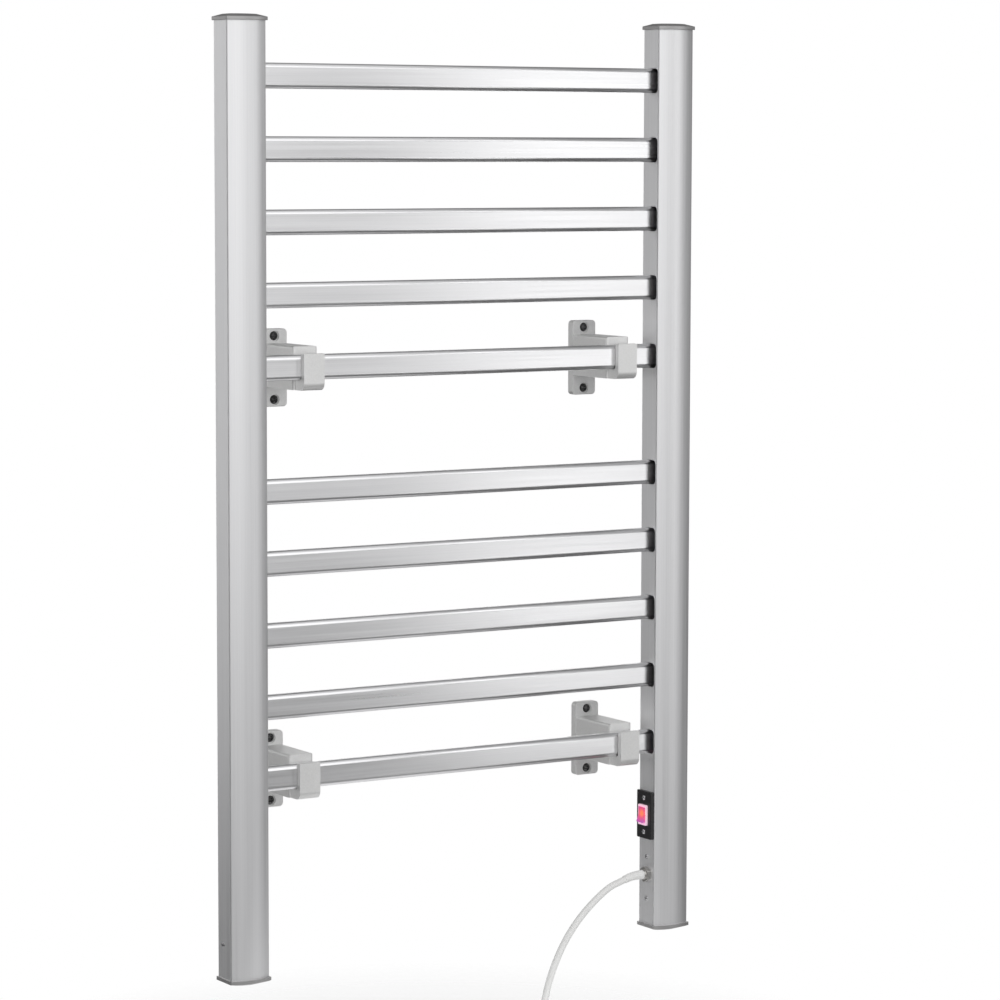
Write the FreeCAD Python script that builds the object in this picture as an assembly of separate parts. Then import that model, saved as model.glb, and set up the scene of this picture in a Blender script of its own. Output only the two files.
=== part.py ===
import FreeCAD, Part
import math
import os

from FreeCAD import Placement, Rotation, Vector

# Wall-mounted electric towel warmer rack, in millimetres.
# +X is to the right seen from the room, +Y goes into the wall, +Z is up.
# The wall face is the plane y = 0. The origin is the middle of the four upper wall screws.

# ---- Overall sizes ----
rack_height = 930.0         # over both end caps
post_pitch = 490.0          # from one post's left side to the other's
bar_standoff = 77.5         # wall face to the middle of the bars

# ---- Posts: closed aluminium extrusions with a crowned front ----
post_width = 41.0
post_depth = 27.3           # the flat sides
post_crown = 5.0            # the front's middle stands this far ahead of its edges
post_wall = 1.5
post_edge = 0.8
face_groove_width = 0.8     # a fine groove along each front corner parts the crowned front from the sides
face_groove_depth = 0.6
face_groove_from_edge = 0.7

# ---- End caps ----
cap_flange = 6.0
cap_rim = 3.3               # height of its upright edge
cap_slope = 8.0             # its top slopes inwards over this width
cap_corner = 1.8
cap_overhang = 1.8
cap_spigot = 12.0
cap_spigot_wall = 1.6
cap_clearance = 0.15
tongue_width = 13.0
tongue_wall = 3.0
cap_screw_level = 39.0      # above the foot of the rack
cap_screw_behind = 2.85     # behind the middle of the post's flat sides

# ---- Cross bars: flat aluminium tubes ----
upper_bars = 5
lower_bars = 5
bar_height = 24.5
bar_depth = 12.0
bar_corner = 4.5
bar_wall = 1.2
bar_pitch = 69.6
group_gap = 118.8           # last upper bar to first lower bar
top_margin = 57.5           # top of the rack to the first bar's middle
bar_set_back = 9.0          # the bars' front behind the posts' front edges
bar_entry = 12.0            # length of each bar's end inside a post
bar_clearance = 0.2
slot_from_edge = 2.0        # the posts' slots run forward to this far behind the posts' front edges

# ---- Wall brackets: moulded hooks that the bars hang in ----
upper_left_inset = 94.3     # rack's left side to the upper left bracket's middle
upper_right_inset = 75.1
lower_left_inset = 88.5
lower_right_inset = 69.3
bar_over_bracket = 4.3      # bar's middle above the bracket's middle
plate_width = 28.0
plate_height = 76.5
plate_thickness = 8.5
plate_corner = 4.0
plate_edge = 1.0
arm_width = 27.0
arm_top = 24.0              # above the bracket's middle
arm_bottom = 18.0           # below it
arm_edge = 2.5
arm_overlap = 1.0           # the jaw starts this far inside the arm
hook_width = 22.5
hook_wall = 5.6
hook_top = 17.6             # above the bracket's middle
hook_toe_radius = 7.5
slot_clearance = 0.4
slot_corner = 3.0
core_wall = 3.0             # the bracket is cored out from its wall side
core_depth = 58.0
core_rib = 2.5

# ---- Wall screws ----
wall_screw_spacing = 62.5
wall_screw_shank = 4.2      # the threaded part, in the wall
wall_screw_neck = 4.8       # the plain part, in the bracket's plate
wall_screw_head = 9.0
wall_screw_dome = 3.0
wall_screw_reach = 18.0     # standing out behind the wall face
wall_screw_clearance = 0.3
counterbore_depth = 1.4
counterbore_clearance = 0.8
recess_width = 1.1          # the cross recess in every screw head
recess_depth = 1.3

# ---- Small screws ----
small_shank = 3.0
small_head = 5.6
small_dome = 1.7
small_length = 8.0
small_clearance = 0.15
lock_shank = 3.5            # screws through the posts' backs that lock the bars
lock_head = 7.0
lock_dome = 2.2
lock_past_bar = 1.8

# ---- Switch, on the right post's inner side ----
switch_level = 120.5        # above the foot of the rack
switch_plate_width = 25.4
switch_plate_height = 49.5
switch_plate_thickness = 4.1
switch_plate_corner = 1.2
switch_plate_edge = 0.5
switch_screw_spacing = 35.5
bezel_width = 14.6
bezel_height = 21.0
bezel_thickness = 2.0
bezel_wall = 1.0
bezel_lip = 0.5             # the bezel stands out this far past the well on each side
bezel_corner = 1.0
switch_body_width = 12.6
switch_body_height = 18.8
switch_body_depth = 13.0
switch_body_corner = 0.6
switch_clearance = 0.2
rocker_well_depth = 8.0
rocker_gap = 0.35
rocker_half = 8.2           # half its length
rocker_rise = 3.4           # its raised ends above its pivot's front plane
rocker_dip = 1.9            # its waist above the same plane
rocker_depth = 3.2          # its back behind that plane
rocker_taper = 1.4          # its back is this much shorter at each end
rocker_edge = 0.5
rocker_tilt = 10.0          # degrees from the middle to either end
pivot_radius = 1.1
pivot_length = 0.6
pivot_clearance = 0.05
pivot_end_room = 0.1
blade_width = 4.8
blade_thickness = 0.8
blade_length = 6.4
blade_spacing = 6.4
blade_root = 1.0            # the blades start this far behind the well's floor
lamp_radius = 1.2
lamp_length = 7.0
lamp_clearance = 0.2
lamp_cover = 0.8            # rocker wall behind the lamp
lamp_below = 3.4            # under the pivot

# ---- Cable gland and earth strap, under the switch ----
gland_level = 58.0          # above the foot of the rack
gland_flats = 14.5
gland_hex = 3.6
gland_nose = 2.0
gland_nose_radius = 5.4
gland_rounding = 0.7        # the nut's corners are turned to a circle this much larger than its flats
gland_thread = 12.0
gland_stub = 9.0
gland_clearance = 0.15
locknut_flats = 15.0
locknut_height = 3.0
strap_screw_above = 18.3    # above the gland
strap_screw_below = 25.5
strap_width = 19.0
strap_wall = 1.5
strap_margin = 5.0
strap_corner = 2.0

# ---- Heating cable and wiring ----
heater_diameter = 3.2
heater_bend = 10.0
heater_lead_out = 1.5       # straight past a bar's end before the bend
return_set_out = 33.0       # return wire's distance from the right post's inner side
feed_bend = 5.0
feed_behind = 1.35          # the heater's wire meets its blade this far behind the blade's middle
switch_feed_bend = 4.5
live_bend = 6.0
neutral_bend = 8.0
earth_bend = 3.4
wire_diameter = 2.4
core_diameter = 2.0
core_offset = 2.3           # each core's middle from the cord's middle
neutral_rise = 0.3          # the neutral and earth cores leave the jacket a little off their corners
earth_dip = 0.5
splice_radius = 2.8
splice_length = 16.0
cutout_width = 7.0
cutout_depth = 5.0
cutout_length = 18.0
cutout_edge = 1.2
cutout_above = 16.0         # above the gland
jacket_end = 11.5           # the cord's jacket reaches this far inside the post
ring_radius = 3.6
ring_wall = 0.8
earth_way = 4.0             # from the jacket's end to the earth core's rise
earth_loop = 9.0            # the earth core passes this far above its terminal
barrel_radius = 1.5
barrel_length = 7.0
barrel_lift = 0.1           # the barrel stands this far off the strap

# ---- Mains cord ----
cord_diameter = 7.0
boot_bend = 75.0            # the moulded boot droops along this radius
boot_turn = 16.8            # degrees
boot_radius = 4.9
boot_tip_radius = 3.9
floor_drop = 130.0          # the surface that the cord lies on, below the foot of the rack
coil_inner = 33.0
coil_outer = 47.0
coil_height = 21.0
coil_edge = 3.0
coil_way = 232.0            # from the gland's mouth to the coil's middle, along the rack
coil_gap = 5.0              # between the coil and the wall
tie_width = 9.0
tie_wall = 1.2
tie_clearance = 0.2
tie_corner = 1.5

# The hanging run's corners, measured from the gland's mouth: along the rack, off the gland's plane, up.
droop = [(-45.6, 0.0, -10.4), (-85.9, 0.0, -44.7), (-112.0, 0.0, -90.0), (-124.7, -2.0, -138.4)]
landing_way = 150.0         # the last two corners, before the cord lies on the floor
landing_off = 8.0
landing_rise = 13.0
lying_way = 191.0
lying_off = 15.0
# The free end's corners, measured from the coil's middle.
leaving_way = 38.0
leaving_off = 1.5
leaving_drop = 5.0
tail_way = 75.0

# ---- Plug ----
plug_width = 28.0
plug_height = 24.0
plug_length = 30.0
plug_edge = 4.0
plug_back_edge = 2.5
plug_neck = 16.0
plug_neck_entry = 3.0
plug_neck_wall = 0.8        # around the cord where the neck starts
plug_neck_radius = 6.0
plug_way = 100.0            # from the coil's middle to the plug's neck, along the rack
plug_off_wall = 22.0
prong_spacing = 12.7
prong_width = 6.3
prong_thickness = 1.5
prong_length = 16.0
earth_pin_radius = 2.4
earth_pin_length = 19.0
earth_pin_offset = 11.9

# ---- Places that follow from the sizes ----
rack_width = post_pitch + post_width
left_side = -(upper_left_inset + rack_width - upper_right_inset) / 2
right_side = left_side + rack_width
left_inner = left_side + post_width
right_inner = right_side - post_width
bar_y = -bar_standoff
bar_front = bar_y - bar_depth / 2
bar_back = bar_y + bar_depth / 2
post_front = bar_front - bar_set_back
post_back = post_front + post_depth
post_mid = (post_front + post_back) / 2

bar_levels = []
next_level = bar_over_bracket + (upper_bars - 1) * bar_pitch
for index in range(upper_bars + lower_bars):
    bar_levels.append(next_level)
    next_level -= group_gap if index == upper_bars - 1 else bar_pitch
rack_top = bar_levels[0] + top_margin
rack_foot = rack_top - rack_height
upper_bracket_level = bar_levels[upper_bars - 1] - bar_over_bracket
lower_bracket_level = bar_levels[-1] - bar_over_bracket
post_low = rack_foot + cap_flange
post_high = rack_top - cap_flange
switch_z = rack_foot + switch_level
gland_z = rack_foot + gland_level
floor_z = rack_foot - floor_drop
plate_face = right_inner - switch_plate_thickness

os.makedirs("parts", exist_ok=True)
written = []


def save(shape, name):
    """Write one node's STEP file and note its volume."""
    shape.exportStep("parts/" + name + ".step")
    written.append(name)
    print(name, len(shape.Solids), "solid(s)", round(shape.Volume, 1), "mm3", shape.isValid())


def block(x0, x1, y0, y1, z0, z1):
    return Part.makeBox(x1 - x0, y1 - y0, z1 - z0, Vector(x0, y0, z0))


def rod(radius, start, end):
    start = Vector(start)
    along = Vector(end) - start
    return Part.makeCylinder(radius, along.Length, start, along)


def cone(radius0, radius1, start, end):
    start = Vector(start)
    along = Vector(end) - start
    return Part.makeCone(radius0, radius1, along.Length, start, along)


def rounded_rectangle(width, height, radius):
    """A closed wire about the origin in the XY plane."""
    x, y = width / 2, height / 2
    corners = [(x - radius, y - radius, 0), (radius - x, y - radius, 90)]
    corners += [(radius - x, radius - y, 180), (x - radius, radius - y, 270)]
    edges = []
    tips = []
    for cx, cy, start in corners:
        points = []
        for turn in (start, start + 45, start + 90):
            angle = math.radians(turn)
            points.append(Vector(cx + radius * math.cos(angle), cy + radius * math.sin(angle), 0))
        edges.append(Part.Arc(*points).toShape())
        tips.append((points[0], points[2]))
    for this, following in zip(tips, tips[1:] + tips[:1]):
        if (following[0] - this[1]).Length > 1e-6:
            edges.append(Part.makeLine(this[1], following[0]))
    return Part.Wire(Part.__sortEdges__(edges))


def prism(wire, length):
    return Part.Face(wire).extrude(Vector(0, 0, length))


def along_x(shape, x, y, z):
    """Turn a shape drawn in XY and extruded in +Z so that its Z runs along +X and its Y along +Z."""
    turned = shape.copy()
    turn = Rotation(Vector(0, 1, 0), Vector(0, 0, 1), Vector(1, 0, 0), "YXZ")
    turned.Placement = Placement(Vector(x, y, z), turn)
    return turned


def along_y(shape, x, y, z):
    """Turn a shape drawn in XY and extruded in +Z so that its Z runs along +Y and its Y along +Z."""
    turned = shape.copy()
    turn = Rotation(Vector(-1, 0, 0), Vector(0, 0, 1), Vector(0, 1, 0), "YXZ")
    turned.Placement = Placement(Vector(x, y, z), turn)
    return turned


def hexagon(flats):
    corner = flats / math.sqrt(3)
    points = []
    for step in range(7):
        angle = math.radians(30 + 60 * step)
        points.append(Vector(corner * math.cos(angle), corner * math.sin(angle), 0))
    return Part.makePolygon(points)


def post_outline(grow, crown):
    """A post's cross-section in XY: u runs from its inner side to its outer side, y as in the rack."""
    u0, u1 = -grow, post_width + grow
    y0, y1 = post_front - grow, post_back + grow
    front = Part.Arc(Vector(u1, y0, 0), Vector(post_width / 2, y0 - crown, 0), Vector(u0, y0, 0)).toShape()
    sides = Part.makePolygon([Vector(u0, y0, 0), Vector(u0, y1, 0), Vector(u1, y1, 0), Vector(u1, y0, 0)])
    return Part.Wire(sides.Edges + [front])


def on_post(shape, side):
    """Put a shape drawn in (u, y, z) on the left (-1) or right (+1) post."""
    if side < 0:
        return shape.mirror(Vector(0, 0, 0), Vector(1, 0, 0)).translated(Vector(left_inner, 0, 0))
    return shape.translated(Vector(right_inner, 0, 0))


def vertical_edges(shape, x=None, y=None):
    """The straight edges along Z, all of them or those at a given x or y."""
    found = []
    for edge in shape.Edges:
        ends = [vertex.Point for vertex in edge.Vertexes]
        if len(ends) != 2 or abs(ends[0].x - ends[1].x) + abs(ends[0].y - ends[1].y) > 1e-6:
            continue
        if x is not None and abs(ends[0].x - x) > 1e-6:
            continue
        if y is not None and abs(ends[0].y - y) > 1e-6:
            continue
        found.append(edge)
    return found


def screw(head_radius, dome, shank_radius, length, head_at, along):
    """A dome-headed screw: head_at is the middle of the head's seat, along the way its shank points."""
    seat = Vector(head_at)
    way = Vector(along).normalize()
    ball_radius = (head_radius ** 2 + dome ** 2) / (2 * dome)
    ball = Part.makeSphere(ball_radius, seat + way * (ball_radius - dome))
    slab = Part.makeCylinder(head_radius, dome, seat, way * -1)
    head = ball.common(slab)
    cross = None
    for quarter in (0, 90):
        bar = block(-head_radius / 2, head_radius / 2, -recess_width / 2, recess_width / 2, 0, recess_depth)
        bar.rotate(Vector(0, 0, 0), Vector(0, 0, 1), quarter)
        cross = bar if cross is None else cross.fuse(bar)
    cross.Placement = Placement(seat - way * dome, Rotation(Vector(0, 0, 1), way))
    return head.cut(cross).fuse(Part.makeCylinder(shank_radius, length, seat, way)).removeSplitter()


def route(points, radius=None):
    """Straight runs joined by tangent arcs; with no radius, each arc is as large as its runs allow."""
    points = [Vector(p) for p in points]
    edges = []
    radii = []
    here = points[0]
    for before, corner, after in zip(points, points[1:], points[2:]):
        back = (before - corner).normalize()
        ahead = (after - corner).normalize()
        turn = math.pi - back.getAngle(ahead)
        shorter = min((before - corner).Length, (after - corner).Length)
        bend = radius if radius else 0.45 * shorter / math.tan(turn / 2)
        trim = bend * math.tan(turn / 2)
        start = corner + back * trim
        end = corner + ahead * trim
        middle = corner + (back + ahead).normalize() * (bend / math.cos(turn / 2) - bend)
        if (start - here).Length > 1e-4:
            edges.append(Part.LineSegment(here, start).toShape())
        edges.append(Part.Arc(start, middle, end).toShape())
        radii.append(round(bend, 1))
        here = end
    edges.append(Part.LineSegment(here, points[-1]).toShape())
    return Part.Wire(edges), radii


def cable(points, diameter, name, radius=None):
    """A round cable along a route, with its radii and its volume over section times length printed."""
    path, radii = route(points, radius)
    start = path.Edges[0].Curve
    section = Part.Wire(Part.makeCircle(diameter / 2, Vector(points[0]), start.Direction))
    solid = path.makePipeShell([section], True, False)
    ratio = solid.Volume / (math.pi * diameter ** 2 / 4 * path.Length)
    print(name, "length", round(path.Length, 1), "radii", radii, "volume ratio", round(ratio, 4))
    return solid, path.Length


def panel(width, height, radius, thickness, u, z, inner_side=None):
    """A rounded plate standing on the YZ plane, its left face u past the right post's inner side."""
    start = right_inner if inner_side is None else inner_side
    return along_x(prism(rounded_rectangle(width, height, radius), thickness), start + u, post_mid, z)


# ---- Posts ----
inner_outline = post_outline(-post_wall, post_crown)


def post(side):
    shape = prism(post_outline(0, post_crown), post_high - post_low)
    shape.translate(Vector(0, 0, post_low))
    shape = shape.makeFillet(post_edge, vertical_edges(shape))
    hollow = prism(inner_outline, rack_height)
    hollow.translate(Vector(0, 0, rack_foot))
    shape = shape.cut(hollow)
    cuts = []
    slot_y0 = post_front + slot_from_edge
    slot_y1 = bar_back + bar_clearance
    groove_y = post_front + face_groove_from_edge
    for u in (-post_wall, post_width - face_groove_depth):
        cuts.append(block(u, u + post_wall + face_groove_depth if u < 0 else u + post_wall,
                          groove_y, groove_y + face_groove_width, rack_foot, rack_top))
    for level in bar_levels:
        slot = prism(rounded_rectangle(slot_y1 - slot_y0, bar_height + 2 * bar_clearance,
                                       bar_corner + bar_clearance), 2 * post_wall)
        cuts.append(along_x(slot, -post_wall / 2, (slot_y0 + slot_y1) / 2, level))
        cuts.append(rod(lock_shank / 2 + small_clearance, (bar_entry / 2, post_back - 2 * post_wall, level),
                        (bar_entry / 2, post_back + post_wall, level)))
    cuts.append(rod(small_shank / 2 + small_clearance,
                    (post_width - 2 * post_wall, cap_screw_y, cap_screw_z),
                    (post_width + post_wall, cap_screw_y, cap_screw_z)))
    if side > 0:
        cuts.append(panel(switch_body_width + 2 * switch_clearance,
                          switch_body_height + 2 * switch_clearance,
                          switch_body_corner + switch_clearance, 2 * post_wall, -post_wall / 2, switch_z, 0))
        cuts.append(rod(gland_thread / 2 + gland_clearance, (-post_wall, post_mid, gland_z),
                        (2 * post_wall, post_mid, gland_z)))
        for level in inner_screw_levels:
            cuts.append(rod(small_shank / 2 + small_clearance, (-post_wall, post_mid, level),
                            (2 * post_wall, post_mid, level)))
    return on_post(shape.cut(Part.makeCompound(cuts)), side)


cap_screw_y = post_mid + cap_screw_behind
cap_screw_z = rack_foot + cap_screw_level
strap_screw_levels = [gland_z + strap_screw_above, gland_z - strap_screw_below]
plate_screw_levels = [switch_z + switch_screw_spacing / 2, switch_z - switch_screw_spacing / 2]
inner_screw_levels = strap_screw_levels + plate_screw_levels

save(post(-1), "post_left")
save(post(1), "post_right")


# ---- End caps ----
def cap(side, is_top):
    flange = prism(post_outline(cap_overhang, post_crown), cap_flange)
    flange = flange.makeFillet(cap_corner, vertical_edges(flange))
    low = post_outline(cap_overhang, post_crown)
    high = post_outline(cap_overhang - cap_slope, post_crown)
    low.translate(Vector(0, 0, cap_rim if is_top else cap_flange - cap_rim))
    high.translate(Vector(0, 0, cap_flange if is_top else 0))
    roof = Part.makeLoft([low, high], True, True)
    rim = prism(post_outline(cap_overhang, post_crown), cap_rim)
    rim.translate(Vector(0, 0, 0 if is_top else cap_flange - cap_rim))
    flange = flange.common(roof.fuse(rim))
    inset = post_wall + cap_clearance
    skirt = prism(post_outline(-inset, post_crown), cap_spigot)
    skirt = skirt.cut(prism(post_outline(-inset - cap_spigot_wall, post_crown), cap_spigot))
    skirt.translate(Vector(0, 0, -cap_spigot if is_top else cap_flange))
    shape = flange.fuse(skirt)
    if not is_top:
        outer = post_width - inset
        tongue = block(outer - tongue_wall, outer, cap_screw_y - tongue_width / 2,
                       cap_screw_y + tongue_width / 2, cap_flange, cap_screw_level + tongue_width / 2)
        pilot = rod(small_shank / 2, (outer - 2 * tongue_wall, cap_screw_y, cap_screw_level),
                    (outer + tongue_wall, cap_screw_y, cap_screw_level))
        shape = shape.fuse(tongue).cut(pilot)
    shape = shape.removeSplitter()
    shape.translate(Vector(0, 0, rack_top - cap_flange if is_top else rack_foot))
    return on_post(shape, side)


for side, side_name in ((-1, "left"), (1, "right")):
    save(cap(side, True), "cap_top_" + side_name)
    save(cap(side, False), "cap_bottom_" + side_name)

cap_screws = []
for side in (-1, 1):
    one = screw(small_head / 2, small_dome, small_shank / 2, small_length,
                (post_width, cap_screw_y, cap_screw_z), (-1, 0, 0))
    cap_screws.append(on_post(one, side))
save(Part.makeCompound(cap_screws), "cap_screws")


# ---- Cross bars ----
def bar(level):
    length = right_inner - left_inner + 2 * bar_entry
    shape = prism(rounded_rectangle(bar_depth, bar_height, bar_corner), length)
    bore = prism(rounded_rectangle(bar_depth - 2 * bar_wall, bar_height - 2 * bar_wall,
                                   bar_corner - bar_wall), length)
    shape = along_x(shape.cut(bore), left_inner - bar_entry, bar_y, level)
    holes = []
    for x in (left_inner - bar_entry / 2, right_inner + bar_entry / 2):
        holes.append(rod(lock_shank / 2, (x, bar_back - 2 * bar_wall, level),
                         (x, bar_back + bar_wall, level)))
    return shape.cut(Part.makeCompound(holes))


for number, level in enumerate(bar_levels, start=1):
    save(bar(level), "bar_" + str(number).zfill(2))

lock_length = post_back - bar_back + bar_wall + lock_past_bar
for side, side_name in ((-1, "left"), (1, "right")):
    screws = []
    for level in bar_levels:
        one = screw(lock_head / 2, lock_dome, lock_shank / 2, lock_length,
                    (bar_entry / 2, post_back, level), (0, -1, 0))
        screws.append(on_post(one, side))
    save(Part.makeCompound(screws), "bar_lock_screws_" + side_name)


# ---- Wall brackets ----
slot_front = bar_front - slot_clearance
slot_back = bar_back + slot_clearance
hook_front = slot_front - hook_wall
slot_floor = bar_over_bracket - bar_height / 2 - slot_clearance / 2


def bracket(x, level):
    """One moulded hook: a wall plate, a cored arm and a jaw that the bar drops into."""
    plate = prism(rounded_rectangle(plate_width, plate_height, plate_corner), plate_thickness)
    front_rim = [e for e in plate.Edges if all(abs(v.Z) < 1e-6 for v in e.Vertexes)]
    plate = along_y(plate.makeFillet(plate_edge, front_rim), 0, -plate_thickness, 0)
    arm = block(-arm_width / 2, arm_width / 2, slot_back, -plate_thickness / 2, -arm_bottom, arm_top)
    arm_corners = [e for e in arm.Edges if all(abs(v.Y - slot_back) < 1e-6 for v in e.Vertexes) and abs(
        e.Vertexes[0].X - e.Vertexes[1].X) < 1e-6]
    arm_corners += [e for e in arm.Edges if all(abs(v.Z - arm_top) < 1e-6 for v in e.Vertexes) and abs(
        e.Vertexes[0].Y - e.Vertexes[1].Y) > 1]
    arm = arm.makeFillet(arm_edge, arm_corners)
    hook = block(-hook_width / 2, hook_width / 2, hook_front, slot_back + arm_edge + arm_overlap,
                 -arm_bottom, hook_top)
    toe = [e for e in hook.Edges if all(abs(v.Y - hook_front) < 1e-6 and abs(v.Z + arm_bottom) < 1e-6
                                        for v in e.Vertexes)]
    hook = hook.makeFillet(hook_toe_radius, toe)
    slot = prism(rounded_rectangle(slot_back - slot_front, 4 * arm_top, slot_corner), hook_width * 2)
    slot = along_x(slot, -hook_width, (slot_front + slot_back) / 2, slot_floor + 2 * arm_top)
    hook = hook.cut(slot.cut(block(-hook_width, hook_width, slot_back, 0, -arm_bottom, 4 * arm_top)))
    shape = plate.fuse([arm, hook]).removeSplitter()
    core = block(-arm_width / 2 + core_wall, arm_width / 2 - core_wall, -core_depth, plate_thickness,
                 core_wall - arm_bottom, arm_top - core_wall)
    rib = block(-arm_width, arm_width, -core_depth, plate_thickness, -core_rib / 2, core_rib / 2)
    holes = [core.cut(rib)]
    for end in (-1, 1):
        z = end * wall_screw_spacing / 2
        holes.append(rod(wall_screw_neck / 2 + wall_screw_clearance, (0, -2 * plate_thickness, z),
                         (0, plate_thickness, z)))
        holes.append(rod(wall_screw_head / 2 + counterbore_clearance, (0, -2 * plate_thickness, z),
                         (0, counterbore_depth - plate_thickness, z)))
    return shape.cut(Part.makeCompound(holes)).translated(Vector(x, 0, level))


bracket_places = {
    "upper": (left_side + upper_left_inset, right_side - upper_right_inset, upper_bracket_level),
    "lower": (left_side + lower_left_inset, right_side - lower_right_inset, lower_bracket_level),
}
for row, (left_x, right_x, level) in bracket_places.items():
    screws = []
    for x, side_name in ((left_x, "left"), (right_x, "right")):
        save(bracket(x, level), "wall_bracket_" + row + "_" + side_name)
        for end in (-1, 1):
            z = level + end * wall_screw_spacing / 2
            neck_length = plate_thickness - counterbore_depth
            one = screw(wall_screw_head / 2, wall_screw_dome, wall_screw_neck / 2, neck_length,
                        (x, -neck_length, z), (0, 1, 0))
            screws.append(one.fuse(rod(wall_screw_shank / 2, (x, 0, z), (x, wall_screw_reach, z))))
    save(Part.makeCompound(screws), "wall_screws_" + row)
    print("screw rows", row, "spacing x", round(right_x - left_x, 3),
          "middle x", round((left_x + right_x) / 2, 3), "z", round(level, 3))


# ---- Switch ----
def on_plate_rim(edge):
    """True for the outer edges of the switch plate's front face."""
    if any(abs(v.X - plate_face) > 1e-6 for v in edge.Vertexes):
        return False
    box = edge.BoundBox
    reach_y = max(abs(box.YMax - post_mid), abs(box.YMin - post_mid))
    reach_z = max(abs(box.ZMax - switch_z), abs(box.ZMin - switch_z))
    return abs(reach_y - switch_plate_width / 2) < 1e-6 or abs(reach_z - switch_plate_height / 2) < 1e-6


plate_u = -switch_plate_thickness
plate = panel(switch_plate_width, switch_plate_height, switch_plate_corner, switch_plate_thickness,
              plate_u, switch_z)
cuts = [panel(switch_body_width + 2 * switch_clearance, switch_body_height + 2 * switch_clearance,
              switch_body_corner + switch_clearance, 3 * switch_plate_thickness, 2 * plate_u, switch_z)]
for level in plate_screw_levels:
    cuts.append(rod(small_shank / 2 + small_clearance, (right_inner + 2 * plate_u, post_mid, level),
                    (right_inner - plate_u, post_mid, level)))
plate = plate.cut(Part.makeCompound(cuts))
plate = plate.makeChamfer(switch_plate_edge, [e for e in plate.Edges if on_plate_rim(e)])
save(plate, "switch_plate")

plate_screws = []
for level in plate_screw_levels:
    plate_screws.append(screw(small_head / 2, small_dome, small_shank / 2,
                              switch_plate_thickness + small_length,
                              (plate_face, post_mid, level), (1, 0, 0)))
save(Part.makeCompound(plate_screws), "switch_plate_screws")

bezel_u = plate_u - bezel_thickness
body_end_u = plate_u + switch_body_depth
well_u = bezel_u + rocker_well_depth
switch_body = panel(bezel_width, bezel_height, bezel_corner, bezel_thickness, bezel_u, switch_z)
switch_body = switch_body.fuse(panel(switch_body_width, switch_body_height, switch_body_corner,
                                     switch_body_depth, plate_u, switch_z))
well_width = bezel_width - 2 * bezel_wall - 2 * bezel_lip
well_height = bezel_height - 2 * bezel_wall
well = block(right_inner + 2 * bezel_u, right_inner + plate_u, post_mid - well_width / 2,
             post_mid + well_width / 2, switch_z - well_height / 2, switch_z + well_height / 2)
deep_height = switch_body_height - 2 * bezel_wall
well = well.fuse(block(right_inner + bezel_u, right_inner + well_u, post_mid - well_width / 2,
                       post_mid + well_width / 2, switch_z - deep_height / 2, switch_z + deep_height / 2))
pivot_x = right_inner + plate_u - bezel_thickness / 2
pivot_reach = well_width / 2 + pivot_length + pivot_end_room
pivot_hole = rod(pivot_radius + pivot_clearance, (pivot_x, post_mid - pivot_reach, switch_z),
                 (pivot_x, post_mid + pivot_reach, switch_z))
switch_body = switch_body.cut(Part.makeCompound([well, pivot_hole])).removeSplitter()
blades = []
for step in (-1, 0, 1):
    z = switch_z + step * blade_spacing
    blades.append(block(right_inner + well_u + blade_root, right_inner + body_end_u + blade_length,
                        post_mid - blade_width / 2, post_mid + blade_width / 2,
                        z - blade_thickness / 2, z + blade_thickness / 2))
terminals = Part.makeCompound(blades)
save(switch_body.cut(terminals), "switch_body")
save(terminals, "switch_terminals")

rocker_width = well_width - 2 * rocker_gap
pin_reach = rocker_width / 2 + rocker_gap + pivot_length
profile = [(-rocker_half, -rocker_rise), (0, -rocker_dip), (rocker_half, -rocker_rise),
           (rocker_half - rocker_taper, rocker_depth), (rocker_taper - rocker_half, rocker_depth)]
outline = [Vector(pivot_x + u, post_mid - rocker_width / 2, switch_z + z) for z, u in profile]
rocker = Part.Face(Part.makePolygon(outline + outline[:1])).extrude(Vector(0, rocker_width, 0))
rocker = rocker.makeFillet(rocker_edge, [
    e for e in rocker.Edges if abs(e.Vertexes[0].Y - e.Vertexes[1].Y) > 1
    and e.Vertexes[0].X < pivot_x and abs(e.Vertexes[0].Z - switch_z) > 1])
rocker = rocker.fuse(rod(pivot_radius, (pivot_x, post_mid - pin_reach, switch_z),
                         (pivot_x, post_mid + pin_reach, switch_z)))
lamp_x = pivot_x + rocker_depth - lamp_radius - lamp_cover
lamp_z = switch_z - lamp_below
lamp_end = lamp_length / 2 + lamp_clearance
lamp_room = rod(lamp_radius + lamp_clearance, (lamp_x, post_mid - lamp_end, lamp_z),
                (lamp_x, post_mid + lamp_end, lamp_z))
lamp = rod(lamp_radius, (lamp_x, post_mid - lamp_length / 2, lamp_z),
           (lamp_x, post_mid + lamp_length / 2, lamp_z))
rocker = rocker.cut(lamp_room)
for shape, name in ((rocker, "rocker"), (lamp, "neon_lamp")):
    shape.rotate(Vector(pivot_x, post_mid, switch_z), Vector(0, 1, 0), rocker_tilt)
    save(shape, name)
print("rocker pivot", round(pivot_x, 3), round(post_mid, 3), round(switch_z, 3))


# ---- Cable gland and earth strap ----
def on_side(wire, u, length):
    """A prism on the gland's axis, starting u behind the right post's inner side."""
    return along_x(prism(wire, length), right_inner + u, post_mid, gland_z)


def circle(radius):
    return Part.Wire(Part.makeCircle(radius))


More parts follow.
